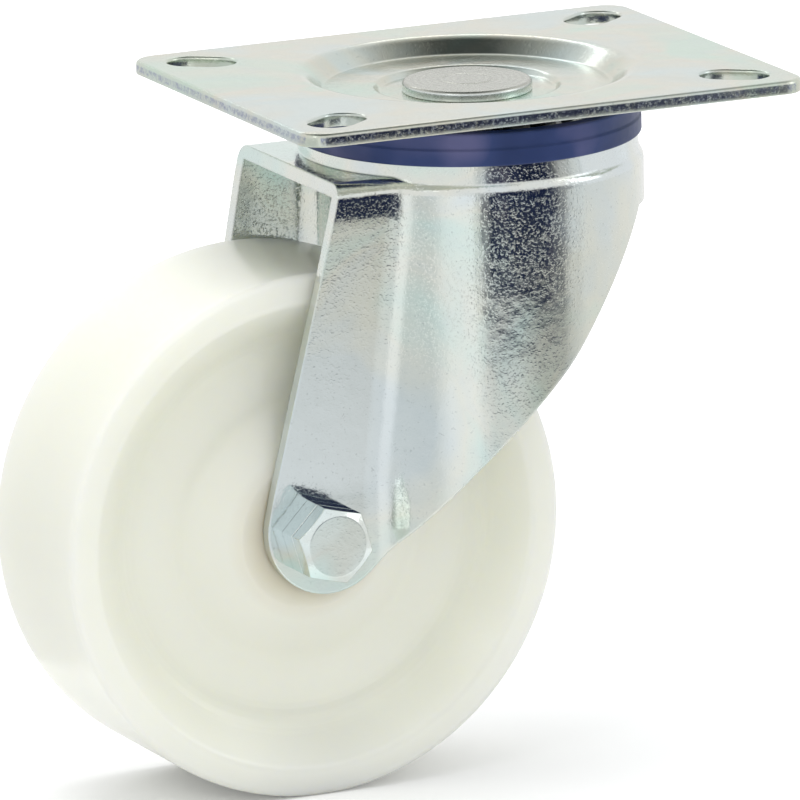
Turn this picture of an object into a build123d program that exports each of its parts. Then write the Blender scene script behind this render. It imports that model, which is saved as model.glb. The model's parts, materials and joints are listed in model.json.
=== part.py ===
from build123d import *
import math
import os

# Swivel caster: a slotted top plate, a pressed steel fork that turns under it on two rows of balls,
# and a solid nylon wheel that turns on a plain sleeve. Sizes are in millimetres.
# The origin is the centre of the plate's top face, on the swivel axis. +Z is up and the wheel trails
# towards -X. The axle runs along Y.

# Overall sizes
swivel_offset = 40.0

# Top plate
plate_length = 100.8
plate_width = 80.6
plate_thickness = 2.5
plate_corner_radius = 5.0
plate_edge_chamfer = 0.4
slot_edge_margin = 10.4
slot_width = 8.5
slot_travel = 4.3
dish_top_radius = 30.0
dish_floor_radius = 26.4
dish_depth = 3.0
seat_top_radius = 17.0
seat_floor_radius = 16.0
seat_drop = 1.0

# King pin, riveted under the lower race
pin_head_diameter = 24.0
pin_head_height = 2.0
pin_shank_diameter = 15.0
pin_tail_diameter = 12.0
pin_rivet_diameter = 18.0
pin_rivet_height = 2.5
pin_rivet_chamfer = 1.5
pin_hole_clearance = 0.05

# Ball rows and the shallow tracks that they run in
ball_diameter = 6.35
ball_clearance = 0.15
ball_sides = 8
ball_bands = 4
track_angle = 20.0
track_depth = 0.8
upper_ball_count = 20
upper_ball_circle = 42.0
lower_ball_count = 16
lower_ball_circle = 33.0

# Lower race
race_thickness = 2.0
race_radius = 21.4
race_lip_width = 1.6
race_lip_height = 3.2

# Fork
fork_sheet = 2.5
fork_bend_radius = 3.0
fork_wheel_gap = 2.2
fork_axle_width = 36.0
fork_leg_round = 30.0
fork_shell_radius = 32.3
fork_blend_radius = 8.0
fork_boss_radius = 31.0
fork_boss_flare = 0.9
fork_boss_flare_drop = 12.0
fork_boss_hole_radius = 12.0
crown_drop = 14.2
crown_front = 36.1
crown_wheel_gap = 14.3
knee_drop = 7.0
foot_over_axle = 8.5
leg_end_radius = 12.1
leg_end_offset_x = 2.15
leg_end_offset_z = 1.2
rear_cut_low = (27.3, 11.7)
rear_cut_middle = (45.9, 30.6)
rear_cut_high = (64.7, 55.5)
rear_cut_round = 60.0

# Dust seal
seal_skirt = 0.9
seal_top_drop = 5.7
seal_bottom_drop = 11.8
seal_ring_width = 2.2
seal_clearance = 0.05

# Axle bolt and lock nut
bolt_diameter = 8.0
bolt_head_width = 13.0
bolt_head_height = 8.7
bolt_face_radius = 5.65
bolt_seam_depth = 0.15
bolt_seam_width = 0.3
bolt_seam_place = 0.5
bolt_head_turn = 46.0
bolt_hole_clearance = 0.15
bolt_tip_chamfer = 0.8
bolt_tip_length = 2.0
nut_width = 13.0
nut_height = 8.0
nut_hex_height = 6.2
nut_collar_radius = 5.8
nut_insert_height = 2.2
nut_insert_radius = 5.2
nut_thread_clearance = 0.05
chamfer_angle = 30.0
chamfer_margin = 0.5

# Axle sleeve
sleeve_diameter = 12.0
sleeve_clearance = 0.1

# Wheel
wheel_diameter = 98.0
wheel_width = 34.6
wheel_shoulder = 1.5
hub_play = 0.3
hub_face_diameter = 27.0
hub_foot_radius = 25.0
rim_foot_radius = 34.5
rim_edge_radius = 43.5
web_thickness = 20.0

# Levels and places that follow from the sizes
axle_x = -swivel_offset
axle_z = -(crown_drop + fork_sheet + crown_wheel_gap + wheel_diameter / 2)
overall_height = wheel_diameter / 2 - axle_z
slot_spacing_x = plate_length - 2 * slot_edge_margin
slot_spacing_y = plate_width - 2 * slot_edge_margin
fork_crown_width = wheel_width + 2 * (fork_sheet + fork_wheel_gap)
seat_z = -(dish_depth + seat_drop)
ball_space = ball_diameter / 2 + ball_clearance
track_half_width = track_depth / math.tan(math.radians(track_angle))
ball_over_track = ball_space / math.cos(math.radians(track_angle)) - track_depth
upper_track_z = -(dish_depth + plate_thickness)
upper_ball_z = upper_track_z - ball_over_track
boss_top_z = upper_ball_z - ball_over_track
boss_under_z = boss_top_z - fork_sheet
lower_ball_z = boss_under_z - ball_space
race_top_z = lower_ball_z - ball_space
race_bottom_z = race_top_z - race_thickness
axle_half_width = fork_axle_width / 2
sleeve_half_length = axle_half_width - fork_sheet
hub_half_length = sleeve_half_length - hub_play
axle_hole_radius = bolt_diameter / 2 + bolt_hole_clearance
bolt_length = fork_axle_width + nut_height + bolt_tip_length


def turned(points):
    """A solid of revolution about Z from a closed outline of radius and height."""
    return revolve(make_face(Polyline(*[(radius, 0, height) for radius, height in points], close=True)), Axis.Z)


def sheet_ring(points, thickness):
    """A turned sheet about Z: its upper face follows the points and its lower face lies one thickness below."""
    lower = []
    for index, (x, z) in enumerate(points):
        before = points[max(index - 1, 0)]
        after = points[min(index + 1, len(points) - 1)]
        angle_in = math.atan2(z - before[1], x - before[0])
        angle_out = math.atan2(after[1] - z, after[0] - x)
        if index == 0:
            angle_in = angle_out
        if index == len(points) - 1:
            angle_out = angle_in
        middle = (angle_in + angle_out) / 2
        reach = thickness / math.cos((angle_out - angle_in) / 2)
        lower.append((x + reach * math.sin(middle), z - reach * math.cos(middle)))
    return turned([*points, *reversed(lower)])


def track(circle_diameter, face_z, into):
    """The shallow ring with two sloping sides that a ball row runs in, cut into a face at the given height."""
    middle = circle_diameter / 2
    rise = into * track_depth
    over = rise / track_depth
    return turned(
        [
            (middle - track_half_width, face_z),
            (middle, face_z + rise),
            (middle + track_half_width, face_z),
            (middle + track_half_width, face_z - over),
            (middle - track_half_width, face_z - over),
        ]
    )


def on_axle(shape):
    """Move a shape made about Z so that its axis lies on the axle and its +Z points along +Y."""
    return Pos(axle_x, 0, axle_z) * Rot(-90, 0, 0) * shape


def rod(radius, bottom, top):
    """A plain round bar about Z between two heights."""
    return Pos(0, 0, bottom) * Cylinder(radius, top - bottom, align=(Align.CENTER, Align.CENTER, Align.MIN))


def tube(outer_radius, inner_radius, bottom, top):
    """A plain ring or tube about Z between two heights."""
    return rod(outer_radius, bottom, top) - rod(inner_radius, bottom, top)


# Top plate
def slot_cutters():
    """Four slots whose long axes point at the plate's centre."""
    cutters = []
    aim = math.degrees(math.atan2(slot_spacing_y, slot_spacing_x))
    for side_x in (-1, 1):
        for side_y in (-1, 1):
            place = Pos(side_x * slot_spacing_x / 2, side_y * slot_spacing_y / 2, -plate_thickness)
            outline = Rot(0, 0, side_x * side_y * aim) * SlotCenterToCenter(slot_travel, slot_width)
            cutters.append(place * extrude(outline, 2 * plate_thickness))
    return cutters


def make_top_plate():
    flat = extrude(RectangleRounded(plate_length, plate_width, plate_corner_radius), -plate_thickness)
    rims = flat.edges().group_by(Axis.Z)
    flat = chamfer([*rims[0], *rims[-1]], plate_edge_chamfer)
    joint_radius = dish_top_radius + plate_thickness
    dish_points = [
        (pin_shank_diameter / 2 + pin_hole_clearance, seat_z),
        (seat_floor_radius, seat_z),
        (seat_top_radius, -dish_depth),
        (dish_floor_radius, -dish_depth),
        (dish_top_radius, 0),
        (joint_radius, 0),
    ]
    plate = flat - rod(joint_radius, -plate_thickness, 0) + sheet_ring(dish_points, plate_thickness)
    return plate - slot_cutters() - track(upper_ball_circle, upper_track_z, 1)


# King pin
def make_king_pin():
    head_radius = pin_head_diameter / 2
    head_top = seat_z + pin_head_height
    rivet_bottom = race_bottom_z - pin_rivet_height
    rivet_radius = pin_rivet_diameter / 2
    return turned(
        [
            (0, head_top),
            (head_radius, head_top),
            (head_radius, seat_z),
            (pin_shank_diameter / 2, seat_z),
            (pin_shank_diameter / 2, race_top_z),
            (pin_tail_diameter / 2, race_top_z),
            (pin_tail_diameter / 2, race_bottom_z),
            (rivet_radius, race_bottom_z),
            (rivet_radius, rivet_bottom + pin_rivet_chamfer),
            (rivet_radius - pin_rivet_chamfer, rivet_bottom),
            (0, rivet_bottom),
        ]
    )


# Lower race
def make_lower_race():
    hole_radius = pin_tail_diameter / 2 + pin_hole_clearance
    lip = tube(race_radius, race_radius - race_lip_width, race_bottom_z, race_top_z + race_lip_height)
    return tube(race_radius, hole_radius, race_bottom_z, race_top_z) + lip


# Balls, each with flat facets whose corners lie on the ball's true sphere
def faceted_ball():
    radius = ball_diameter / 2
    rings = []
    for band in range(1, ball_bands):
        tilt = math.pi * band / ball_bands - math.pi / 2
        across = radius * math.cos(tilt)
        turns = [2 * math.pi * side / ball_sides for side in range(ball_sides)]
        rings.append([(across * math.cos(turn), across * math.sin(turn), radius * math.sin(tilt)) for turn in turns])
    faces = []
    for side in range(ball_sides):
        following = (side + 1) % ball_sides
        faces.append(Face(Wire.make_polygon([(0, 0, -radius), rings[0][following], rings[0][side]])))
        faces.append(Face(Wire.make_polygon([(0, 0, radius), rings[-1][side], rings[-1][following]])))
        for low, high in zip(rings, rings[1:]):
            faces.append(Face(Wire.make_polygon([low[side], low[following], high[following], high[side]])))
    return Solid(Shell(faces))


def ball_row(name, count, circle_diameter, height):
    """Named balls spaced evenly on their circle."""
    ball = faceted_ball()
    row = {}
    for index in range(count):
        place = Rot(0, 0, 360 * index / count) * Pos(circle_diameter / 2, 0, height)
        row[f"{name}_{index + 1:02d}"] = place * ball
    return row


# Fork
def pinched_legs(inset, top):
    """Both legs as one block that narrows below the crown's turned-down edge and is parallel around the axle."""
    depth = 2 * overall_height
    leg = fork_crown_width / 2 - inset
    foot = axle_half_width - inset
    right = [(leg, top), (leg, -crown_drop - knee_drop), (foot, axle_z + foot_over_axle), (foot, -depth)]
    left = [(-x, z) for x, z in reversed(right)]
    section = make_face(Polyline(*right, *left, close=True))
    knees = [vertex for vertex in section.vertices() if -depth < vertex.Y < top]
    section = fillet(knees, fork_leg_round)
    return extrude(Plane.YZ * section, -2 * swivel_offset)


def fork_block(inset):
    """The pressing as a solid block, set in from its outer face: the crown, the two legs and the round shell."""
    top = -crown_drop - inset
    shell_radius = fork_shell_radius - inset
    block = rod(shell_radius, -2 * overall_height, top) + pinched_legs(inset, top)
    corners = [
        edge
        for edge in block.edges()
        if -shell_radius < edge.center().X < -shell_radius / 2
        and edge.bounding_box().size.Z > 2 * edge.bounding_box().size.Y
        and edge.bounding_box().size.Z > 2 * edge.bounding_box().size.X
    ]
    block = fillet(corners, fork_blend_radius + inset)
    if inset > 0:
        return block
    rim = [edge for edge in block.edges().group_by(Axis.Z)[-1] if edge.center().X > -1.9 * swivel_offset]
    return fillet(rim, fork_bend_radius)


def fork_side_profile():
    """The fork seen from the side: the sloping front edge, the round leg end and the long rear cut."""
    centre = (axle_x + leg_end_offset_x, axle_z + leg_end_offset_z)
    crown = (-crown_front, -crown_drop)
    low, middle, high = [(axle_x + x, axle_z + z) for x, z in (rear_cut_low, rear_cut_middle, rear_cut_high)]
    past = (fork_shell_radius + fork_sheet, high[1])
    front_touch = tangent_point(centre, leg_end_radius, crown, 1)
    rear_touch = tangent_point(centre, leg_end_radius, low, -1)
    bottom = (centre[0], centre[1] - leg_end_radius)
    rear_cut = FilletPolyline(rear_touch, low, middle, high, radius=rear_cut_round)
    edges = [
        Line((crown[0], 0), crown),
        Line(crown, front_touch),
        ThreePointArc(front_touch, bottom, rear_touch),
        *rear_cut.edges(),
        Line(high, past),
        Line(past, (past[0], 0)),
        Line((past[0], 0), (crown[0], 0)),
    ]
    return make_face(edges)


def tangent_point(centre, radius, point, side):
    """Where a line from a point touches a circle, on the chosen side of it."""
    across = point[0] - centre[0]
    up = point[1] - centre[1]
    heading = math.atan2(up, across) + side * math.acos(radius / math.hypot(across, up))
    return centre[0] + radius * math.cos(heading), centre[1] + radius * math.sin(heading)


def boss_block():
    """The raised round boss in the crown, which flares a little towards its foot."""
    foot_z = -crown_drop - fork_bend_radius
    foot_radius = fork_boss_radius + fork_boss_flare
    side = [(foot_radius, foot_z), (fork_boss_radius, -fork_boss_flare_drop), (fork_boss_radius, boss_top_z)]
    return turned([(0, foot_z), *side, (0, boss_top_z)])


def make_fork():
    profile = extrude(Plane.XZ * fork_side_profile(), plate_width / 2, both=True)
    fork = (fork_block(0) & profile) + boss_block()
    fork -= fork_block(fork_sheet)
    fork -= rod(fork_boss_radius - fork_sheet, -crown_drop - 2 * fork_sheet, boss_under_z)
    fork -= rod(fork_boss_hole_radius, boss_under_z, boss_top_z)
    fork -= on_axle(rod(axle_hole_radius, -plate_width, plate_width))
    fork -= track(upper_ball_circle, boss_top_z, -1)
    return fork


# Dust seal
def make_dust_seal():
    inside = fork_boss_radius + seal_clearance
    outside = inside + seal_skirt
    return turned(
        [
            (inside, -seal_bottom_drop),
            (outside, -seal_bottom_drop),
            (outside, -seal_top_drop),
            (inside - seal_ring_width, -seal_top_drop),
            (inside - seal_ring_width, boss_top_z),
            (inside, boss_top_z),
        ]
    )


# Axle bolt, its nut and the nut's nylon ring
def hexagon_bar(width, bottom, top):
    """A hexagonal bar about Z, measured across its flats."""
    return Pos(0, 0, bottom) * extrude(RegularPolygon(width / 2, 6, major_radius=False), top - bottom)


def chamfer_cone(face_radius, width, bottom, top):
    """A round envelope that takes the corners off the top end of a hexagonal bar."""
    corner_radius = width / math.sqrt(3) + chamfer_margin
    fall = (corner_radius - face_radius) * math.tan(math.radians(chamfer_angle))
    return turned([(0, bottom), (corner_radius, bottom), (corner_radius, top - fall), (face_radius, top), (0, top)])


def make_axle_bolt():
    head_bottom = axle_half_width
    head_top = head_bottom + bolt_head_height
    seam = head_bottom + bolt_head_height * bolt_seam_place
    seam_low = seam - bolt_seam_width / 2
    seam_high = seam + bolt_seam_width / 2
    head = hexagon_bar(bolt_head_width, head_bottom, seam_low)
    head += hexagon_bar(bolt_head_width - 2 * bolt_seam_depth, seam_low, seam_high)
    head += hexagon_bar(bolt_head_width, seam_high, head_top)
    head &= chamfer_cone(bolt_face_radius, bolt_head_width, head_bottom, head_top)
    tip = head_bottom - bolt_length
    shank = rod(bolt_diameter / 2, tip, head_bottom)
    shank = chamfer(shank.edges().group_by(Axis.Z)[0], bolt_tip_chamfer)
    return on_axle(Rot(180, 0, 0) * (Rot(0, 0, bolt_head_turn) * head + shank))


def make_lock_nut():
    bottom = axle_half_width
    hex_top = bottom + nut_hex_height
    top = bottom + nut_height
    body = hexagon_bar(nut_width, bottom, hex_top)
    body &= chamfer_cone(nut_collar_radius, nut_width, bottom, hex_top)
    body += rod(nut_collar_radius, hex_top, top)
    body -= rod(bolt_diameter / 2 + nut_thread_clearance, bottom, top)
    body -= rod(nut_insert_radius, top - nut_insert_height, top)
    return on_axle(body)


def make_nut_insert():
    top = axle_half_width + nut_height
    return on_axle(tube(nut_insert_radius, bolt_diameter / 2, top - nut_insert_height, top))


# Axle sleeve
def make_axle_sleeve():
    return on_axle(tube(sleeve_diameter / 2, axle_hole_radius, -sleeve_half_length, sleeve_half_length))


# Wheel
def make_wheel():
    radius = wheel_diameter / 2
    half = wheel_width / 2
    web = web_thickness / 2
    bore = sleeve_diameter / 2 + sleeve_clearance
    side = [
        (bore, hub_half_length),
        (hub_face_diameter / 2, hub_half_length),
        (hub_foot_radius, web),
        (rim_foot_radius, web),
        (rim_edge_radius, half),
        (radius - wheel_shoulder, half),
        (radius, half - wheel_shoulder),
    ]
    mirrored = [(x, -z) for x, z in reversed(side)]
    return on_axle(turned(side + mirrored))


def make_nodes():
    nodes = {
        "top_plate": make_top_plate(),
        "king_pin": make_king_pin(),
        "lower_race": make_lower_race(),
        "fork": make_fork(),
        "dust_seal": make_dust_seal(),
        "axle_bolt": make_axle_bolt(),
        "lock_nut": make_lock_nut(),
        "nut_insert": make_nut_insert(),
        "axle_sleeve": make_axle_sleeve(),
        "wheel": make_wheel(),
    }
    nodes.update(ball_row("upper_ball", upper_ball_count, upper_ball_circle, upper_ball_z))
    nodes.update(ball_row("lower_ball", lower_ball_count, lower_ball_circle, lower_ball_z))
    return nodes


os.makedirs("parts", exist_ok=True)
for node_name, node_shape in make_nodes().items():
    export_step(node_shape, f"parts/{node_name}.step")
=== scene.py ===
import json
import math

import bmesh
import bpy
from mathutils import Matrix, Vector


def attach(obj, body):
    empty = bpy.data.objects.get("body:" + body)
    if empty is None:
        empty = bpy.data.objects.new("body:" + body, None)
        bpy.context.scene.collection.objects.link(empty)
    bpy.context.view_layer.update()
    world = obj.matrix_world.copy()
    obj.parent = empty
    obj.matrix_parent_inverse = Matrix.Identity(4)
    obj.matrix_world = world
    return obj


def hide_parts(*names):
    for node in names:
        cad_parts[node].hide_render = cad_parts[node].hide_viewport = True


# Swivel caster: the CAD frame, dressed and set in a studio. Sizes of the part are in millimetres, and MM
# turns them into metres. Sizes in the materials and in the studio are in metres.
MM = 0.001
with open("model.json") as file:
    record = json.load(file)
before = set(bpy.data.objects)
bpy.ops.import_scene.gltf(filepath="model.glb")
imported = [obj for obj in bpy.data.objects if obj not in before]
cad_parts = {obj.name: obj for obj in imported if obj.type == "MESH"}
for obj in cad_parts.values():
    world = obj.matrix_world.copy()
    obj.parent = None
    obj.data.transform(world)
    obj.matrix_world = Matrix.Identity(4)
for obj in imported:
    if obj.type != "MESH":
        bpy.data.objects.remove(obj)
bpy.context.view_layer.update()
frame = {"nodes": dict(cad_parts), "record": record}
scene = bpy.context.scene

AXLE = Vector((-40.0, 0.0, -80.0))
FLOOR_Z = -129.0
MERGE_DISTANCE = 1e-7
WHITE = (1.0, 1.0, 1.0)

# Mesh helpers
LONG_STRAIGHT = 1.2
END_STRIP = 0.15


def new_object(name, mesh):
    piece = bpy.data.objects.new(name, mesh)
    scene.collection.objects.link(piece)
    return piece


def rounded(points, steps=8):
    """An open outline with rounded corners, from (x, y, radius) points.

    Long straights get a point near each end.
    """
    outline = []
    for index, (x, y, radius) in enumerate(points):
        here = Vector((x, y))
        if index in (0, len(points) - 1) or radius <= 0:
            outline.append(here)
            continue
        before = (Vector(points[index - 1][:2]) - here).normalized()
        after = (Vector(points[index + 1][:2]) - here).normalized()
        half = before.angle(after) / 2
        reach = radius / math.tan(half)
        middle = here + (before + after).normalized() * (radius / math.sin(half))
        start = here + before * reach
        end = here + after * reach
        turn = math.pi - 2 * half
        spin = (start - middle).angle_signed(end - middle)
        sign = 1 if spin > 0 else -1
        count = max(2, round(steps * turn / (math.pi / 2)) + 1)
        for step in range(count + 1):
            arm = (start - middle).copy()
            arm.rotate(Matrix.Rotation(-sign * turn * step / count, 2))
            outline.append(middle + arm)
    dense = [outline[0]]
    for following in outline[1:]:
        last = dense[-1]
        gap = (following - last).length
        if gap > LONG_STRAIGHT:
            dense.append(last.lerp(following, END_STRIP / gap))
            dense.append(last.lerp(following, 1 - END_STRIP / gap))
        dense.append(following)
    return dense


def clean_mesh(net, mesh):
    """Write a bmesh to a mesh, with joined seams, even normals and smooth shading."""
    bmesh.ops.remove_doubles(net, verts=net.verts, dist=MERGE_DISTANCE)
    bmesh.ops.recalc_face_normals(net, faces=net.faces)
    net.to_mesh(mesh)
    net.free()
    mesh.shade_smooth()


def lathe(name, outline, count=192, closed=False, along_axle=False):
    """A turned piece from (radius, height) points, about Z or about the axle."""
    verts = []
    for side in range(count):
        turn = 2 * math.pi * side / count
        for radius, height in outline:
            if along_axle:
                spot = AXLE + Vector((radius * math.cos(turn), height, radius * math.sin(turn)))
            else:
                spot = Vector((radius * math.cos(turn), radius * math.sin(turn), height))
            verts.append(spot * MM)
    rows = len(outline)
    faces = []
    for side in range(count):
        this_side = side * rows
        next_side = (side + 1) % count * rows
        for row in range(rows if closed else rows - 1):
            next_row = (row + 1) % rows
            faces.append((this_side + row, next_side + row, next_side + next_row, this_side + next_row))
    mesh = bpy.data.meshes.new(name)
    mesh.from_pydata(verts, [], faces)
    net = bmesh.new()
    net.from_mesh(mesh)
    clean_mesh(net, mesh)
    return new_object(name, mesh)


# Top plate sizes that its material and its mesh share. The shear band's heights run from the lower face (0) to
# the upper one (1), and its inset is measured inwards from the blank's edge.
PLATE_SIZE = (100.8, 80.6)
SHEET = 2.5
SHEAR_BAND = [(0.0, 0.0), (0.2, 0.3), (0.36, 0.85), (0.68, 0.85), (0.8, 0.0)]
SHEAR_INSET = (0.6, 0.6)


# Materials
class Graph:
    """A short way to build one node material. Noise scales are per metre."""

    SOCKETS = {
        "colour": "Base Color",
        "metal": "Metallic",
        "rough": "Roughness",
        "normal": "Normal",
        "coat": "Coat Weight",
        "coat_rough": "Coat Roughness",
        "inner": "Subsurface Weight",
        "inner_scale": "Subsurface Scale",
        "inner_radius": "Subsurface Radius",
        "specular": "Specular IOR Level",
    }

    def __init__(self, name):
        self.material = bpy.data.materials.new(name)
        self.material.use_nodes = True
        self.tree = self.material.node_tree
        self.tree.nodes.clear()
        self.output = self.tree.nodes.new("ShaderNodeOutputMaterial")
        self.shader = self.tree.nodes.new("ShaderNodeBsdfPrincipled")
        self.link(self.shader.outputs[0], self.output.inputs[0])
        self.place = self.tree.nodes.new("ShaderNodeTexCoord").outputs["Object"]

    def link(self, source, target):
        self.tree.links.new(source, target)

    def node(self, kind, inputs=None, **settings):
        made = self.tree.nodes.new(kind)
        for key, value in settings.items():
            setattr(made, key, value)
        for key, value in (inputs or {}).items():
            if isinstance(value, bpy.types.NodeSocket):
                self.link(value, made.inputs[key])
            else:
                made.inputs[key].default_value = value
        return made

    def math(self, operation, *values):
        return self.node("ShaderNodeMath", dict(enumerate(values)), operation=operation).outputs[0]

    def vector(self, operation, *values):
        return self.node("ShaderNodeVectorMath", dict(enumerate(values)), operation=operation)

    def noise(self, scale, detail=2.0, rough=0.5, distortion=0.0):
        inputs = {
            "Vector": self.place,
            "Scale": scale,
            "Detail": detail,
            "Roughness": rough,
            "Distortion": distortion,
        }
        return self.node("ShaderNodeTexNoise", inputs).outputs["Fac"]

    def ramp(self, value, stops):
        """A colour ramp. A stop's tone is a colour or one number for a grey."""
        made = self.node("ShaderNodeValToRGB", {"Fac": value})
        bar = made.color_ramp
        while len(bar.elements) < len(stops):
            bar.elements.new(0.5)
        for element, (position, tone) in zip(bar.elements, stops):
            element.position = position
            element.color = (tone, tone, tone, 1.0) if isinstance(tone, float) else (*tone, 1.0)
        return made.outputs["Color"]

    def mix(self, factor, first, second):
        made = self.node("ShaderNodeMix", data_type="RGBA", blend_type="MIX")
        for socket, value in ((made.inputs[0], factor), (made.inputs[6], first), (made.inputs[7], second)):
            if isinstance(value, bpy.types.NodeSocket):
                self.link(value, socket)
            else:
                socket.default_value = (*value, 1.0)
        return made.outputs[2]

    def spread(self, value, low, high):
        made = self.node("ShaderNodeMapRange", {"Value": value, "To Min": low, "To Max": high})
        return made.outputs["Result"]

    def times(self, value, factor):
        return self.math("MULTIPLY", value, factor)

    def between(self, low, high, first, last):
        """A value that goes from the first number at the low height to the last one at the high height."""
        height = self.node("ShaderNodeSeparateXYZ", {0: self.place}).outputs[2]
        limits = {"Value": height, "From Min": low, "From Max": high, "To Min": first, "To Max": last}
        return self.node("ShaderNodeMapRange", limits).outputs["Result"]

    def outside(self, half_size):
        """1 outside a rectangle centred on the swivel axis, and 0 inside it."""
        split = self.node("ShaderNodeSeparateXYZ", {0: self.place})
        beyond = []
        for axis, limit in enumerate(half_size):
            size = self.math("ABSOLUTE", split.outputs[axis])
            beyond.append(self.math("GREATER_THAN", size, limit))
        return self.math("MAXIMUM", *beyond)

    def bump(self, height, strength, distance, normal):
        inputs = {"Height": height, "Strength": strength, "Distance": distance, "Normal": normal}
        return self.node("ShaderNodeBump", inputs).outputs["Normal"]

    def edge(self, radius):
        return self.node("ShaderNodeBevel", {"Radius": radius}, samples=6).outputs["Normal"]

    def set(self, **values):
        for key, value in values.items():
            socket = self.shader.inputs[self.SOCKETS[key]]
            if isinstance(value, bpy.types.NodeSocket):
                self.link(value, socket)
            else:
                socket.default_value = value
        return self.material


def scaled(colour, factor):
    return tuple(factor * value for value in colour)


def zinc(name, cool, warm, green, rough_low, rough_high, grain, wave, edge_radius, calm=None, sheared=None):
    """Bright zinc plate: cool, warm and greenish silver, over a fine pitted grain and soft waves.

    Between the two calm heights the grain grows from little to full. A sheared blank, given by its half length
    and half width, has the torn, dark and speckled band that a shear leaves on its outer edge.
    """
    made = Graph(name)
    broad = made.noise(34.0, 3.0, 0.55, distortion=0.6)
    tint = made.ramp(broad, [(0.36, cool), (0.5, warm), (0.64, green)])
    clouds = made.noise(120.0, 4.0, 0.6)
    tint = made.mix(made.ramp(clouds, [(0.45, 0.0), (0.75, 0.45)]), tint, scaled(cool, 0.92))
    pits = made.noise(1500.0, 2.0, 0.6)
    tint = made.mix(made.ramp(pits, [(0.27, 0.4), (0.36, 0.0)]), tint, scaled(cool, 0.6))
    rough = made.spread(made.noise(260.0, 3.0, 0.6), rough_low, rough_high)
    amount = made.ramp(made.noise(48.0, 2.0, 0.5), [(0.38, 0.45), (0.62, 1.0)])
    if calm:
        amount = made.times(amount, made.between(calm[0], calm[1], 0.3, 1.0))
    if sheared:
        band = made.ramp(made.between(-SHEET * MM, 0.0, 0.0, 1.0), SHEAR_BAND)
        torn = made.times(made.outside(sheared), band)
        dark = made.ramp(made.noise(1100.0, 2.0, 0.7), [(0.4, 1.0), (0.6, 0.25)])
        tint = made.mix(made.times(torn, dark), tint, (0.3, 0.33, 0.42))
        amount = made.math("MULTIPLY_ADD", torn, 2.0, amount)
    normal = made.bump(made.noise(150.0, 2.5, 0.55), wave, 0.0002, made.edge(edge_radius))
    normal = made.bump(made.noise(700.0, 2.0, 0.5), made.times(amount, 0.36 * grain), 0.00008, normal)
    specks = made.ramp(made.noise(2000.0, 2.0, 0.6), [(0.53, 0.0), (0.78, 1.0)])
    normal = made.bump(specks, made.times(amount, grain), 0.000045, normal)
    return made.set(colour=tint, metal=1.0, rough=rough, normal=normal)


def turned_steel(name, colour, rings, side_low, side_high):
    """Steel with fine turning rings round the swivel axis, and a painted reflection that makes it brighter
    below its rounded rim.
    """
    made = Graph(name)
    wave = made.node(
        "ShaderNodeTexWave",
        {"Vector": made.place, "Scale": rings, "Distortion": 2.4, "Detail": 3.0, "Detail Scale": 2.0},
        wave_type="RINGS",
        rings_direction="Z",
    )
    ring = wave.outputs["Fac"]
    tint = made.mix(made.spread(made.noise(90.0, 3.0), 0.0, 0.6), colour, scaled(colour, 0.8))
    tint = made.mix(made.spread(ring, 0.0, 0.45), tint, (0.36, 0.36, 0.33))
    # Painted reflection: below the rim the colour is much brighter, standing in for the bright reflections on
    # the pin's side.
    tint = made.mix(made.between(side_low, side_high, 1.0, 0.0), tint, (0.84, 0.9, 0.9))
    rough = made.spread(made.noise(500.0, 2.0), 0.2, 0.34)
    normal = made.bump(ring, 0.3, 0.00008, made.edge(0.0004))
    normal = made.bump(made.noise(1800.0, 2.0), 0.14, 0.00005, normal)
    return made.set(colour=tint, metal=1.0, rough=rough, normal=normal)


def plain_steel(name, colour):
    """Bare, slightly clouded steel for the hidden bearing parts."""
    made = Graph(name)
    tint = made.mix(made.spread(made.noise(120.0, 3.0), 0.0, 0.6), colour, scaled(colour, 0.75))
    rough = made.spread(made.noise(300.0, 3.0), 0.18, 0.34)
    normal = made.bump(made.noise(1500.0, 2.0), 0.1, 0.00004, made.edge(0.0002))
    return made.set(colour=tint, metal=1.0, rough=rough, normal=normal)


def navy_plastic(name, deep, plain, bloom_and_painted_light):
    """Moulded navy plastic with a fine satin grain and a slight purple bloom, partly painted light and shade.
    """
    made = Graph(name)
    # Painted light and shade in part: the noise tint's lighter bloom and deeper navy patches stand in for
    # where the seal is lit and shaded.
    tint = made.ramp(made.noise(28.0, 3.0, 0.6), [(0.38, deep), (0.48, plain), (0.58, bloom_and_painted_light)])
    rough = made.spread(made.noise(700.0, 3.0), 0.34, 0.5)
    normal = made.bump(made.noise(90.0, 2.0), 0.3, 0.0002, made.edge(0.0003))
    normal = made.bump(made.noise(1300.0, 2.0), 0.4, 0.00005, normal)
    return made.set(colour=tint, rough=rough, normal=normal, specular=0.35)


def white_nylon(name, light, shade, painted_hub_shade):
    """Natural nylon: translucent off-white and a little cloudy, with a browner painted shade close to the
    axle.
    """
    made = Graph(name)
    tint = made.mix(made.ramp(made.noise(26.0, 3.0, 0.5), [(0.35, 0.0), (0.65, 1.0)]), light, shade)
    # Painted shade: the brownish tint near the axle stands in for the shadow that the fork's legs cast on the
    # hub.
    offset = made.vector("SUBTRACT", made.place, tuple(AXLE * MM)).outputs[0]
    across = made.vector("MULTIPLY", offset, (1.0, 0.0, 1.0)).outputs[0]
    reach = made.vector("LENGTH", across).outputs["Value"]
    hub_shade_mask = made.ramp(made.times(reach, 20.0), [(0.22, 1.0), (0.33, 0.1), (0.6, 0.0)])
    tint = made.mix(hub_shade_mask, tint, painted_hub_shade)
    rough = made.spread(made.noise(120.0, 3.0), 0.28, 0.4)
    normal = made.bump(made.noise(45.0, 2.0), 0.3, 0.0004, made.edge(0.0004))
    normal = made.bump(made.noise(900.0, 2.0), 0.2, 0.00003, normal)
    return made.set(
        colour=tint,
        rough=rough,
        normal=normal,
        inner=0.8,
        inner_scale=0.012,
        inner_radius=(1.0, 0.95, 0.75),
        coat=0.35,
        coat_rough=0.1,
    )


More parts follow.
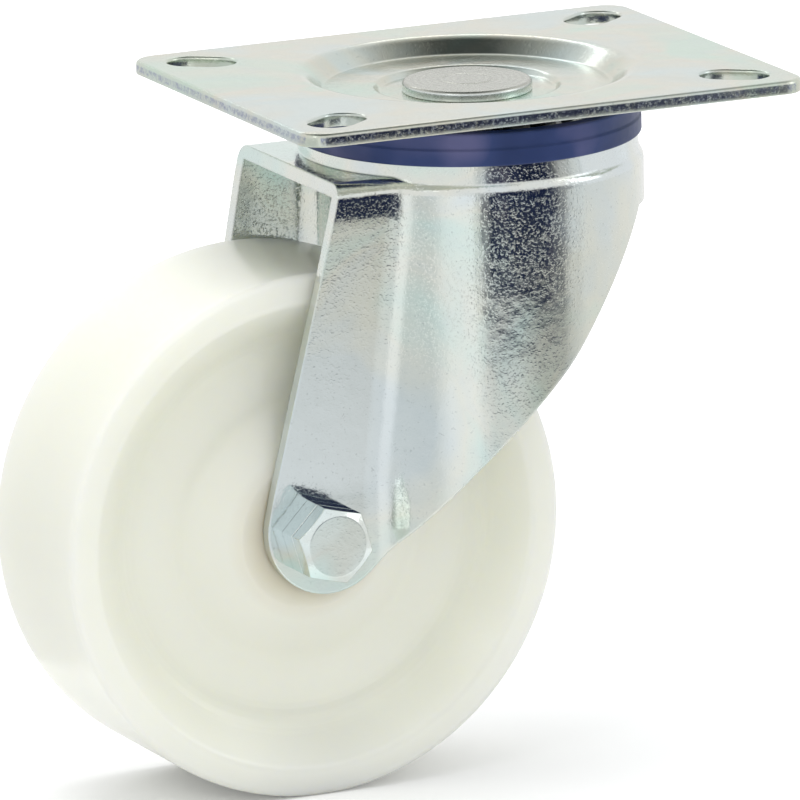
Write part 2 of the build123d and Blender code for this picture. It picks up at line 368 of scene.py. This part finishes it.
looks = {
    "zinc_plate": zinc(
        "zinc_plate_look",
        cool=(0.56, 0.63, 0.61),
        warm=(0.62, 0.61, 0.52),
        green=(0.52, 0.64, 0.55),
        rough_low=0.12,
        rough_high=0.24,
        grain=0.35,
        wave=0.35,
        edge_radius=0.0004,
        sheared=tuple((size / 2 - inset) * MM for size, inset in zip(PLATE_SIZE, SHEAR_INSET)),
    ),
    "zinc_fork": zinc(
        "zinc_fork_look",
        cool=(0.65, 0.7, 0.71),
        warm=(0.71, 0.72, 0.66),
        green=(0.61, 0.72, 0.68),
        rough_low=0.05,
        rough_high=0.13,
        grain=0.8,
        wave=0.38,
        edge_radius=0.0006,
        calm=(-0.06, -0.036),
    ),
    "zinc_bolt": zinc(
        "zinc_bolt_look",
        cool=(0.74, 0.83, 0.83),
        warm=(0.68, 0.71, 0.67),
        green=(0.6, 0.76, 0.74),
        rough_low=0.1,
        rough_high=0.2,
        grain=0.4,
        wave=0.3,
        edge_radius=0.0003,
    ),
    "zinc_pin": turned_steel(
        "turned_pin_look", (0.51, 0.52, 0.47), rings=260.0, side_low=-0.0027, side_high=-0.0023
    ),
    "bearing_steel": plain_steel("bearing_steel_look", (0.5, 0.51, 0.52)),
    "ball_steel": plain_steel("ball_steel_look", (0.62, 0.63, 0.64)),
    "blue_plastic": navy_plastic(
        "navy_plastic_look", deep=(0.013, 0.032, 0.12), plain=(0.022, 0.044, 0.155), bloom_and_painted_light=(0.1, 0.105, 0.24)
    ),
    "insert_nylon": white_nylon(
        "insert_nylon_look", light=(0.8, 0.79, 0.7), shade=(0.76, 0.75, 0.66), painted_hub_shade=(0.7, 0.66, 0.54)
    ),
    "wheel_nylon": white_nylon(
        "wheel_nylon_look", light=(0.85, 0.855, 0.765), shade=(0.835, 0.84, 0.745), painted_hub_shade=(0.74, 0.69, 0.54)
    ),
}
for row in frame["record"]["subparts"]:
    node = frame["nodes"][row["node"]]
    look = looks[row["material_slot"]]
    for place in node.material_slots:
        place.material = look


def dress(piece, body, slot, *nodes):
    """Give a new piece the material of its slot and its body, and hide the CAD nodes that it stands for."""
    piece.data.materials.append(looks[slot])
    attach(piece, body)
    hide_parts(*nodes)


# Wheel: one moulding with a soft recess on each side
BORE_RADIUS = 6.1
HUB_HALF_WIDTH = 15.2
WEB_HALF_WIDTH = 10.0
TREAD_HALF_WIDTH = 17.3
TREAD_RADIUS = 49.0

half_outline = rounded(
    [
        (BORE_RADIUS, 0.0, 0),
        (BORE_RADIUS, HUB_HALF_WIDTH, 0.4),
        (14.0, HUB_HALF_WIDTH, 0.8),
        (24.0, WEB_HALF_WIDTH, 6.0),
        (36.0, WEB_HALF_WIDTH, 8.0),
        (43.8, TREAD_HALF_WIDTH, 2.2),
        (TREAD_RADIUS, TREAD_HALF_WIDTH, 1.3),
        (TREAD_RADIUS, 0.0, 0),
    ]
)
wheel_outline = [(p.x, p.y) for p in half_outline] + [(p.x, -p.y) for p in reversed(half_outline)]
wheel = lathe("wheel_moulding", wheel_outline, 224, closed=True, along_axle=True)
dress(wheel, "road_wheel", "wheel_nylon", "wheel")

# Top plate: a sheared blank with a rounded upper edge, four punched slots and a pressed dish
PLATE_CORNER = 5.0
PLATE_EDGE_ROUNDS = (0.75, 0.25)
SLOT_EDGE_ROUNDS = (0.5, 0.2)
SLOT_PLACE = (40.0, 29.9)
SLOT_RADIUS = 4.25
SLOT_TRAVEL = 4.3
PIN_HOLE_RADIUS = 7.55
DISH_DEPTH = 3.0
SEAT_DEPTH = 4.0
TURNED_RADIUS = 34.2
DISH_COUNT = 208


def plate_outline(inset):
    """The blank's outline, set in from its edge."""
    points = []
    radius = PLATE_CORNER - inset
    for quarter in range(4):
        side_x = 1 if quarter in (0, 3) else -1
        side_y = 1 if quarter in (0, 1) else -1
        middle = (side_x * (PLATE_SIZE[0] / 2 - PLATE_CORNER), side_y * (PLATE_SIZE[1] / 2 - PLATE_CORNER))
        for step in range(13):
            turn = math.radians(90 * quarter + 90 * step / 12)
            points.append((middle[0] + radius * math.cos(turn), middle[1] + radius * math.sin(turn)))
    return points


def slot_outline(side_x, side_y, outset):
    """One slot's outline, set out from its wall. Its long axis points at the plate's centre."""
    aim = math.atan2(side_y * SLOT_PLACE[1], side_x * SLOT_PLACE[0])
    radius = SLOT_RADIUS + outset
    points = []
    for end in (1, -1):
        middle_x = side_x * SLOT_PLACE[0] + end * SLOT_TRAVEL / 2 * math.cos(aim)
        middle_y = side_y * SLOT_PLACE[1] + end * SLOT_TRAVEL / 2 * math.sin(aim)
        for step in range(19):
            turn = aim + math.radians(10 * step - 90 if end == 1 else 10 * step + 90)
            points.append((middle_x + radius * math.cos(turn), middle_y + radius * math.sin(turn)))
    return points


def edge_section(upper, lower):
    """A sheared edge from the upper face to the lower one, as (distance from the wall, height) points."""
    section = [(upper + END_STRIP, 0.0)]
    for step in range(7):
        turn = math.radians(15 * step)
        section.append((upper * (1 - math.sin(turn)), -upper * (1 - math.cos(turn))))
    for step in range(5):
        turn = math.radians(22.5 * step)
        section.append((lower * (1 - math.cos(turn)), -SHEET + lower * (1 - math.sin(turn))))
    section.append((lower + END_STRIP, -SHEET))
    return section


def ring_of(net, points, height):
    return [net.verts.new((x * MM, y * MM, height * MM)) for x, y in points]


def bridge(net, first, second):
    """Faces between two rings of as many points."""
    for index in range(len(first)):
        following = (index + 1) % len(first)
        net.faces.new((first[index], first[following], second[following], second[index]))


def ring_edges(net, ring):
    return [net.edges.get((ring[index - 1], ring[index])) for index in range(len(ring))]


def plate_pressing():
    """The plate as one closed mesh: walls and turned dish first, then the flats between them."""
    net = bmesh.new()
    upper_edges = []
    lower_edges = []
    walls = [(plate_outline, edge_section(*PLATE_EDGE_ROUNDS))]
    slot_section = edge_section(*SLOT_EDGE_ROUNDS)
    for side_x in (-1, 1):
        for side_y in (-1, 1):
            walls.append((lambda out, x=side_x, y=side_y: slot_outline(x, y, out), slot_section))
    for outline, section in walls:
        rings = [ring_of(net, outline(distance), height) for distance, height in section]
        for first, second in zip(rings, rings[1:]):
            bridge(net, first, second)
        upper_edges += ring_edges(net, rings[0])
        lower_edges += ring_edges(net, rings[-1])
    top_line = rounded(
        [
            (PIN_HOLE_RADIUS, -SEAT_DEPTH, 0),
            (16.3, -SEAT_DEPTH, 0.7),
            (17.2, -DISH_DEPTH, 0.9),
            (26.6, -DISH_DEPTH, 1.2),
            (30.0, 0.0, 3.6),
            (TURNED_RADIUS, 0.0, 0),
        ]
    )
    under_line = rounded(
        [
            (PIN_HOLE_RADIUS, -SEAT_DEPTH - SHEET, 0),
            (17.2, -SEAT_DEPTH - SHEET, 0.7),
            (18.2, -DISH_DEPTH - SHEET, 0.9),
            (27.6, -DISH_DEPTH - SHEET, 2.6),
            (31.0, -SHEET, 1.2),
            (TURNED_RADIUS, -SHEET, 0),
        ]
    )
    turns = [2 * math.pi * step / DISH_COUNT for step in range(DISH_COUNT)]
    hole_rings = []
    for line, edges in ((top_line, upper_edges), (under_line, lower_edges)):
        rings = []
        for spot in line:
            circle = [(spot.x * math.cos(turn), spot.x * math.sin(turn)) for turn in turns]
            rings.append(ring_of(net, circle, spot.y))
        for first, second in zip(rings, rings[1:]):
            bridge(net, first, second)
        edges += ring_edges(net, rings[-1])
        hole_rings.append(rings[0])
    bridge(net, *hole_rings)
    for edges in (upper_edges, lower_edges):
        bmesh.ops.triangle_fill(net, use_beauty=True, use_dissolve=False, edges=edges, normal=(0, 0, 1))
    mesh = bpy.data.meshes.new("plate_pressing")
    clean_mesh(net, mesh)
    return new_object("plate_pressing", mesh)


dress(plate_pressing(), "root", "zinc_plate", "top_plate")

# King pin: a low turned head with a rounded rim, its shank and the riveted tail
HEAD_RADIUS = 12.0
SHANK_RADIUS = 7.5
TAIL_RADIUS = 6.0
RIVET_RADIUS = 9.0
HEAD_UNDER = -4.0
SHANK_END = -20.1
RIVET_TOP = -22.13
RIVET_END = -24.63

pin_line = rounded(
    [
        (0.0, -1.95, 0),
        (4.4, -1.95, 0.2),
        (4.8, -2.08, 0.2),
        (5.2, -2.0, 0.2),
        (HEAD_RADIUS, -2.05, 0.75),
        (HEAD_RADIUS, HEAD_UNDER, 0.3),
        (SHANK_RADIUS, HEAD_UNDER, 0),
        (SHANK_RADIUS, SHANK_END, 0),
        (TAIL_RADIUS, SHANK_END, 0),
        (TAIL_RADIUS, RIVET_TOP, 0),
        (RIVET_RADIUS, RIVET_TOP, 0.3),
        (RIVET_RADIUS, -24.0, 1.2),
        (6.0, RIVET_END, 1.5),
        (0.0, RIVET_END, 0),
    ]
)
pin = lathe("king_pin_turned", [(p.x, p.y) for p in pin_line], 128)
dress(pin, "root", "zinc_pin", "king_pin")

# Dust seal: a thin moulded skirt with a soft step at half height
SEAL_TOP = -5.7
SEAL_LEDGE = -9.9
SEAL_LIP = -11.8
SEAL_INNER = 28.85
SKIRT_INNER = 31.05
SKIRT_OUTER = 31.95

seal_line = rounded(
    [
        (SKIRT_INNER, SEAL_LIP, 0.2),
        (SKIRT_OUTER, SEAL_LIP, 0.35),
        (SKIRT_OUTER, -8.9, 0.3),
        (31.6, -8.5, 0.3),
        (31.75, SEAL_TOP, 0.4),
        (SEAL_INNER, SEAL_TOP, 0.2),
        (SEAL_INNER, SEAL_LEDGE, 0.1),
        (SKIRT_INNER, SEAL_LEDGE, 0.1),
        (SKIRT_INNER, SEAL_LIP, 0),
    ]
)
seal = lathe("dust_seal_skirt", [(p.x, p.y) for p in seal_line], 192, closed=True)
dress(seal, "swivel_fork", "blue_plastic", "dust_seal")

# Studio: floor and world. What the camera and reflections see differs from the soft light that they give.
FLOOR_HALF = 4.0
FLOOR_BOUNCE = 0.8
FLOOR_ALBEDO = 0.95
SHADOW_REACH = 0.22
NEAR_LIFT = 0.12
FAR_LIFT = 0.35
DOME_COLOUR = (0.97, 0.985, 1.0, 1)
DOME_STRENGTH = 0.7


def seen_or_reflected(tree, plain, shown, out):
    """Send the plain shader to diffuse rays and the shown one to camera, glossy and transmission rays."""
    path = tree.nodes.new("ShaderNodeLightPath")
    first = tree.nodes.new("ShaderNodeMath")
    first.operation = "MAXIMUM"
    second = tree.nodes.new("ShaderNodeMath")
    second.operation = "MAXIMUM"
    pick = tree.nodes.new("ShaderNodeMixShader")
    tree.links.new(path.outputs["Is Camera Ray"], first.inputs[0])
    tree.links.new(path.outputs["Is Glossy Ray"], first.inputs[1])
    tree.links.new(first.outputs[0], second.inputs[0])
    tree.links.new(path.outputs["Is Transmission Ray"], second.inputs[1])
    tree.links.new(second.outputs[0], pick.inputs["Fac"])
    tree.links.new(plain.outputs[0], pick.inputs[1])
    tree.links.new(shown.outputs[0], pick.inputs[2])
    tree.links.new(pick.outputs[0], out.inputs[0])


def floor_material(name):
    """Pale floor that keeps the object's shadow near it, with a glow that lifts it further away."""
    material = bpy.data.materials.new(name)
    material.use_nodes = True
    tree = material.node_tree
    tree.nodes.clear()
    out = tree.nodes.new("ShaderNodeOutputMaterial")
    plain = tree.nodes.new("ShaderNodeBsdfDiffuse")
    plain.inputs["Color"].default_value = (FLOOR_BOUNCE, FLOOR_BOUNCE, FLOOR_BOUNCE, 1)
    shadowed = tree.nodes.new("ShaderNodeBsdfDiffuse")
    shadowed.inputs["Color"].default_value = (FLOOR_ALBEDO, FLOOR_ALBEDO, FLOOR_ALBEDO, 1)
    glow = tree.nodes.new("ShaderNodeEmission")
    place = tree.nodes.new("ShaderNodeTexCoord")
    reach = tree.nodes.new("ShaderNodeVectorMath")
    reach.operation = "LENGTH"
    lift = tree.nodes.new("ShaderNodeMapRange")
    lift.inputs["From Min"].default_value = SHADOW_REACH
    lift.inputs["From Max"].default_value = 2 * SHADOW_REACH
    lift.inputs["To Min"].default_value = NEAR_LIFT
    lift.inputs["To Max"].default_value = FAR_LIFT
    both = tree.nodes.new("ShaderNodeAddShader")
    tree.links.new(place.outputs["Object"], reach.inputs[0])
    tree.links.new(reach.outputs["Value"], lift.inputs["Value"])
    tree.links.new(lift.outputs["Result"], glow.inputs["Strength"])
    tree.links.new(shadowed.outputs[0], both.inputs[0])
    tree.links.new(glow.outputs[0], both.inputs[1])
    seen_or_reflected(tree, plain, both, out)
    return material


floor_corners = ((-1, -1), (1, -1), (1, 1), (-1, 1))
floor_mesh = bpy.data.meshes.new("studio_floor")
floor_mesh.from_pydata(
    [(x * FLOOR_HALF, y * FLOOR_HALF, FLOOR_Z * MM) for x, y in floor_corners], [], [(0, 1, 2, 3)]
)
floor_piece = new_object("studio_floor", floor_mesh)
floor_mesh.materials.append(floor_material("studio_floor_look"))

world = bpy.data.worlds.new("studio_world")
scene.world = world
world.use_nodes = True
world.node_tree.nodes.clear()
world_out = world.node_tree.nodes.new("ShaderNodeOutputWorld")
dome = world.node_tree.nodes.new("ShaderNodeBackground")
dome.inputs["Color"].default_value = DOME_COLOUR
dome.inputs["Strength"].default_value = DOME_STRENGTH
white = world.node_tree.nodes.new("ShaderNodeBackground")
white.inputs["Color"].default_value = (*WHITE, 1)
seen_or_reflected(world.node_tree, dome, white, world_out)

# Lamps
LAMP_AIM = Vector((-0.02, 0.0, -0.06))


def area_light(name, spot, width, height, power, in_reflections=True):
    """A rectangular lamp, aimed at the object, with its power in watts."""
    data = bpy.data.lights.new(name, "AREA")
    data.shape = "RECTANGLE"
    data.size = width
    data.size_y = height
    data.energy = power
    lamp = bpy.data.objects.new(name, data)
    scene.collection.objects.link(lamp)
    lamp.location = spot
    lamp.rotation_euler = (LAMP_AIM - Vector(spot)).to_track_quat("-Z", "Y").to_euler()
    lamp.visible_glossy = in_reflections


area_light("key_left", (-0.9, -0.6, 0.75), 0.26, 0.5, 0.7)
area_light("fill_right", (0.9, -0.5, 0.5), 0.4, 0.6, 0.8)
area_light("back_top", (0.1, 0.9, 0.8), 0.9, 0.4, 2.0)
area_light("front_fill", (-0.1, -1.2, 0.15), 0.8, 0.8, 2.4, in_reflections=False)
area_light("top_soft", (-0.05, 0.05, 1.0), 0.8, 0.8, 6.5, in_reflections=False)

# Cards that the metal reflects. Azimuths on them are in degrees to the right of the camera's own
VIEW_AZIMUTH = -24.7
MAT_Z = (FLOOR_Z + 1.0) * MM
MAT_REACH = (0.1, 1.6)
SCREEN_REACH = 0.415
SCREEN_TURNS = (2, 78)
SCREEN_TOP = 0.06
CEILING_REACH = 1.0
CEILING_Z = 0.75


def card(name, low_ring, high_ring, shade):
    """A card between two rings of as many points, seen only in reflections. The shade gives its tone."""
    count = len(low_ring)
    faces = [(step, step + 1, count + step + 1, count + step) for step in range(count - 1)]
    mesh = bpy.data.meshes.new(name)
    mesh.from_pydata(low_ring + high_ring, [], faces)
    made = new_object(name, mesh)
    made.rotation_euler.z = math.radians(VIEW_AZIMUTH)
    graph = Graph(name + "_look")
    graph.tree.nodes.remove(graph.shader)
    glow = graph.node("ShaderNodeEmission", {"Color": shade(graph), "Strength": 1.0})
    graph.link(glow.outputs[0], graph.output.inputs[0])
    mesh.materials.append(graph.material)
    made.visible_camera = False
    made.visible_diffuse = False
    made.visible_shadow = False


def ring_points(radius, height, first_turn=-180, last_turn=180, steps=48):
    """Points round the object between two azimuths."""
    points = []
    for step in range(steps + 1):
        turn = math.radians(first_turn + (last_turn - first_turn) * step / steps)
        points.append((radius * math.sin(turn), -radius * math.cos(turn), height))
    return points


def reach_from_axis(graph):
    flat = graph.vector("MULTIPLY", graph.place, (1.0, 1.0, 0.0)).outputs[0]
    return graph.vector("LENGTH", flat).outputs["Value"]


def by_turn(graph, ragged, tones):
    """A tone that follows the azimuth, from pairs of degrees and tone, with edges as ragged as asked."""
    split = graph.node("ShaderNodeSeparateXYZ", {0: graph.place})
    front = graph.math("MULTIPLY", split.outputs[1], -1.0)
    turn = graph.math("ARCTAN2", split.outputs[0], front)
    share = graph.math("MULTIPLY_ADD", turn, 0.5 / math.pi, 0.5)
    waver = graph.math("MULTIPLY_ADD", graph.noise(15.0, 3.0, 0.6), ragged, -ragged / 2)
    return graph.ramp(graph.math("ADD", share, waver), [((turn + 180) / 360, tone) for turn, tone in tones])


def mat_shade(graph):
    """Pale ground: white behind the object, brightest towards the camera, greyer to its left and right."""
    tone = by_turn(
        graph,
        0.03,
        [
            (-150, WHITE),
            (-80, (0.85, 0.87, 0.86)),
            (-26, (0.76, 0.8, 0.81)),
            (-14, (1.05, 1.08, 1.1)),
            (2, (1.1, 1.12, 1.14)),
            (10, (0.82, 0.86, 0.88)),
            (28, (0.8, 0.84, 0.84)),
            (43, (0.58, 0.59, 0.55)),
            (60, (0.55, 0.56, 0.52)),
            (76, (0.9, 0.9, 0.86)),
            (150, WHITE),
        ],
    )
    near = graph.ramp(reach_from_axis(graph), [(0.16, 0.7), (0.34, 0.0)])
    return graph.mix(near, tone, WHITE)


def screen_shade(graph):
    """Dark navy cloth with lighter folds, fading to the pale ground at its two ends."""
    folds = [(0.35, (0.006, 0.01, 0.03)), (0.55, (0.015, 0.025, 0.07)), (0.72, (0.09, 0.085, 0.12))]
    cloth = graph.ramp(graph.noise(14.0, 3.0, 0.6), folds)
    ends = by_turn(graph, 0.12, [(5, 0.0), (15, 1.0), (52, 1.0), (76, 0.0)])
    return graph.mix(ends, (0.9, 0.92, 0.9), cloth)


def ceiling_shade(graph):
    """Dark straight above the object and white well away from it."""
    tones = [(0.16, (0.06, 0.07, 0.07)), (0.42, (0.42, 0.44, 0.43)), (0.8, WHITE)]
    return graph.ramp(reach_from_axis(graph), tones)


card("pale_mat", *(ring_points(reach, MAT_Z) for reach in MAT_REACH), mat_shade)
card("dark_screen", *(ring_points(SCREEN_REACH, z, *SCREEN_TURNS) for z in (MAT_Z, SCREEN_TOP)), screen_shade)
card("dark_ceiling", *(ring_points(reach, CEILING_Z) for reach in (0.0, CEILING_REACH)), ceiling_shade)

# Camera
VIEW_ELEVATION = 13.18
VIEW_ROLL = -1.11
VIEW_DISTANCE = 2.5
FOCAL_PIXELS = 13578.0
IMAGE_PIXELS = 800.0
SENSOR = 36.0
TARGET = Vector((-0.020, 0.0, -0.065))
MOVE_RIGHT = 0.00464
MOVE_UP = 0.004556

azimuth = math.radians(VIEW_AZIMUTH)
elevation = math.radians(VIEW_ELEVATION)
roll = math.radians(VIEW_ROLL)
back = Vector(
    (math.sin(azimuth) * math.cos(elevation), -math.cos(azimuth) * math.cos(elevation), math.sin(elevation))
)
level = Vector((math.cos(azimuth), math.sin(azimuth), 0.0))
upright = back.cross(level)
right = level * math.cos(roll) + upright * math.sin(roll)
up = back.cross(right)
camera_data = bpy.data.cameras.new("photo_camera")
camera_data.lens = FOCAL_PIXELS / IMAGE_PIXELS * SENSOR
camera_data.sensor_width = SENSOR
camera_data.clip_start = 0.1
camera_data.clip_end = 50.0
camera = bpy.data.objects.new("photo_camera", camera_data)
scene.collection.objects.link(camera)
place = TARGET + back * VIEW_DISTANCE + right * MOVE_RIGHT + up * MOVE_UP
camera.matrix_world = Matrix(
    (
        (right.x, up.x, back.x, place.x),
        (right.y, up.y, back.y, place.y),
        (right.z, up.z, back.z, place.z),
        (0, 0, 0, 1),
    )
)
scene.camera = camera
scene.view_settings.view_transform = "Standard"
